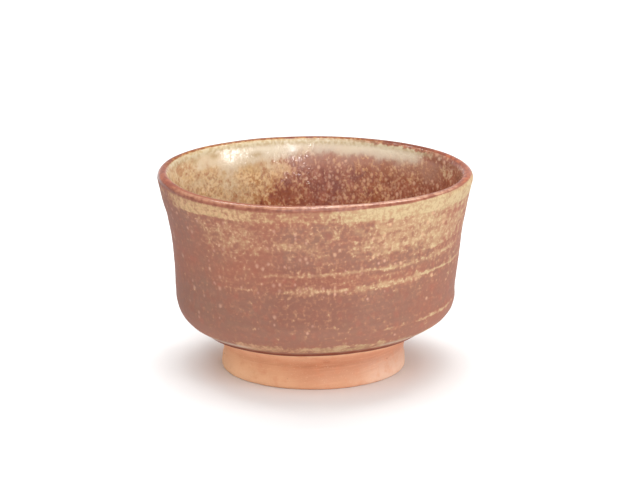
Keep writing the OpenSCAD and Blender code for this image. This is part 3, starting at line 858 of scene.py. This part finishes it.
    # painted highlight: a small bright white spot on the far wall
    col = m.mix(painted_glint, col, srgb(244, 240, 230))
    col = m.mix(m.mul(milk, 0.8), col, m.mix(m.step(g1, 0.40, 0.62), srgb(178, 154, 113), srgb(198, 182, 148)))
    col = m.mix(m.mul(lip, 0.9), col, m.mix(m.step(g1, 0.42, 0.60), srgb(128, 64, 46), srgb(168, 98, 70)))
    m.put(col, m.bsdf.inputs["Base Color"])
    m.put(m.add(m.mixf(cream, 0.17, 0.15), m.mul(m.math("SUBTRACT", mott, 0.5), 0.16)), m.bsdf.inputs["Roughness"])
    m.bsdf.inputs["IOR"].default_value = 1.52
    m.bsdf.inputs["Coat Weight"].default_value = 0.3
    m.bsdf.inputs["Coat Roughness"].default_value = 0.42
    h = m.add(m.mul(cream, 0.35), m.mul(dots, 0.35), m.mul(g2, 1.0), m.mul(mott, 3.2), m.mul(big, 3.0))
    h = m.mul(h, m.mixf(deep, 1.0, 0.35))
    m.put(m.bump(h, 0.06, 0.9), m.bsdf.inputs["Normal"])
    return m.mat


def clay_material(name):
    m = Mat(name)
    cloud = m.noise(m.mm, 0.085, 2.0, 0.5)
    mid = m.noise(m.mm, 0.45, 3.0, 0.6)
    grit = m.noise(m.mm, 3.2, 2.0, 0.6)
    lines = m.along(0.16, 2.6, 2.0)
    # left and right of the clay lighter, the middle darker: partly the fired clay's own colour, partly painted light on
    # the sides
    side = m.add(m.mul(m.x, 0.034), m.mul(m.math("SUBTRACT", cloud, 0.5), 0.7))
    col = m.mix(m.step(side, -0.75, 0.0), srgb(240, 190, 148), srgb(204, 148, 114))
    col = m.mix(m.step(side, 0.0, 0.75), col, srgb(222, 184, 160))
    # darker and more orange towards the top of the foot: painted shade under the bowl
    col = m.mix(m.lin(m.z, 1.5, 6.2, 0.0, 0.70), col, m.mix(m.step(side, -0.75, 0.2), srgb(200, 130, 92), srgb(168, 96, 62)))
    # the cove above the foot is lightened again: painted light against its own shade
    col = m.mix(m.lin(m.z, 5.6, 7.4, 0.0, 0.75), col, m.mix(m.step(side, -0.2, 0.6), srgb(230, 174, 138), srgb(206, 142, 110)))
    # a thin light line just below the glaze edge: a painted highlight
    col = m.mix(m.lin(m.z, 7.5, 8.6, 0.0, 0.6), col, srgb(240, 196, 160))
    smudge = m.vec("LENGTH", m.vec("MULTIPLY", m.vec("SUBTRACT", m.mm, (2.8, -21.0, 6.7)), (0.55, 0.3, 1.1)))
    col = m.mix(m.mul(m.step(mid, 0.48, 0.72), 0.40), col, srgb(204, 132, 96))
    col = m.mix(m.step(m.add(smudge, m.mul(mid, 0.8)), 1.3, 0.5, 0.0, 0.40), col, srgb(160, 84, 54))
    col = m.mix(m.mul(m.step(lines, 0.50, 0.72), 0.14), col, srgb(236, 188, 152))
    col = m.mix(m.mul(m.step(grit, 0.60, 0.72), 0.30), col, srgb(240, 204, 172))
    d, pick, size = m.cells(m.mm, 0.55)
    spot = m.mul(m.step(pick, 0.90, 0.92), m.step(d, 0.14, 0.07))
    col = m.mix(m.mul(spot, 0.8), col, srgb(130, 74, 52))
    m.put(col, m.bsdf.inputs["Base Color"])
    m.put(m.lin(grit, 0.35, 0.65, 0.72, 0.86), m.bsdf.inputs["Roughness"])
    m.bsdf.inputs["Specular IOR Level"].default_value = 0.3
    h = m.add(m.mul(grit, 0.9), m.mul(lines, 0.45), m.mul(mid, 0.5), m.mul(spot, -0.6))
    m.put(m.bump(h, 0.06, 0.9), m.bsdf.inputs["Normal"])
    return m.mat


# ---------------------------------------------------------------- build
outer = make_outer()
inner = make_inner()
bowl = make_bowl()
foot = make_foot()
for piece, node, slot, mat in (
    (outer, "outer_glaze", "outer_glaze", outer_material()),
    (inner, "inner_glaze", "inner_glaze", inner_material()),
    (bowl, "bowl_body", "bare_clay", clay_material("bare_clay_fired")),
    (foot, "foot_ring", "foot_clay", clay_material("foot_clay_fired")),
):
    piece.data.materials.append(mat)
    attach(piece, "root")
    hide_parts(node)

# ---------------------------------------------------------------- floor, light, camera
def stage_material():
    m = Mat("pale_floor")
    tone = m.noise(m.mm, 0.004, 2.0)
    m.put(m.mix(tone, srgb(236, 236, 236), srgb(240, 240, 240)), m.bsdf.inputs["Base Color"])
    m.bsdf.inputs["Roughness"].default_value = 0.8
    m.bsdf.inputs["Specular IOR Level"].default_value = 0.2
    return m.mat


n_floor = 96
fa = np.linspace(0, 2 * np.pi, n_floor, endpoint=False)
fv = [(1.5 * math.cos(a), 1.5 * math.sin(a), 0.0) for a in fa]
fme = bpy.data.meshes.new("floor")
fme.from_pydata(fv, [], [list(range(n_floor))])
floor = bpy.data.objects.new("floor", fme)
bpy.context.scene.collection.objects.link(floor)
fme.materials.append(stage_material())

world = bpy.data.worlds.new("studio")
world.use_nodes = True
bg = world.node_tree.nodes["Background"]
bg.inputs[0].default_value = (1.0, 1.0, 1.0, 1.0)
wt = world.node_tree
way = wt.nodes.new("ShaderNodeTexCoord")
split = wt.nodes.new("ShaderNodeSeparateXYZ")
fall = wt.nodes.new("ShaderNodeMapRange")
wt.links.new(way.outputs["Generated"], split.inputs[0])
wt.links.new(split.outputs[2], fall.inputs["Value"])
for key, val in (("From Min", 0.06), ("From Max", 0.16), ("To Min", 0.96), ("To Max", 0.44)):
    fall.inputs[key].default_value = val
wt.links.new(fall.outputs[0], bg.inputs[1])
bpy.context.scene.world = world


def softbox(name, azimuth, height, far, wide, tall, glow):
    """A rectangular light aimed at the cup, placed by direction in degrees and distance in metres; glow is its
    brightness, where 1 is a white surface in full light."""
    la = bpy.data.lights.new(name, "AREA")
    la.shape = "RECTANGLE"
    la.size, la.size_y = wide, tall
    la.energy = glow * math.pi * wide * tall
    ob = bpy.data.objects.new(name, la)
    a, e = math.radians(azimuth), math.radians(height)
    d = np.array([math.cos(a) * math.cos(e), math.sin(a) * math.cos(e), math.sin(e)])
    ob.location = far * d + np.array([0, 0, 0.03])
    ob.rotation_euler = (math.pi / 2 - e, 0, a + math.pi / 2)
    bpy.context.scene.collection.objects.link(ob)
    return ob


overhead = bpy.data.lights.new("overhead", "SUN")
overhead.energy, overhead.angle = 0.85, math.radians(18)
over_ob = bpy.data.objects.new("overhead", overhead)
over_ob.location = (0, 0, 2)
bpy.context.scene.collection.objects.link(over_ob)
softbox("back_top", 90, 66, 1.8, 2.2, 0.26, 12.5)
softbox("front_top", -86, 50, 1.8, 1.8, 1.3, 2.35)
softbox("side_right", -17.6, 4.7, 1.1, 0.26, 0.070, 62.0)
softbox("front_fill", -112, 9, 1.6, 1.5, 0.40, 1.5)
softbox("small_front", -72, 8.3, 1.0, 0.08, 0.08, 90.0)

E_DEG, DIST, AIM = 14.5, 0.620, 0.0287
cam = bpy.data.cameras.new("camera")
cam.sensor_width = 36.0
cam.lens = 2771.0 / 640 * 36.0
cam.clip_start, cam.clip_end = 0.05, 30.0
cam_ob = bpy.data.objects.new("camera", cam)
ce, se = math.cos(math.radians(E_DEG)), math.sin(math.radians(E_DEG))
cam_ob.location = (0.00150, -DIST * ce, AIM + DIST * se)
cam_ob.rotation_euler = (math.radians(90 - E_DEG), 0, 0)
bpy.context.scene.collection.objects.link(cam_ob)
bpy.context.scene.camera = cam_ob
bpy.context.scene.view_settings.view_transform = "Standard"
bpy.context.scene.view_settings.look = "None"
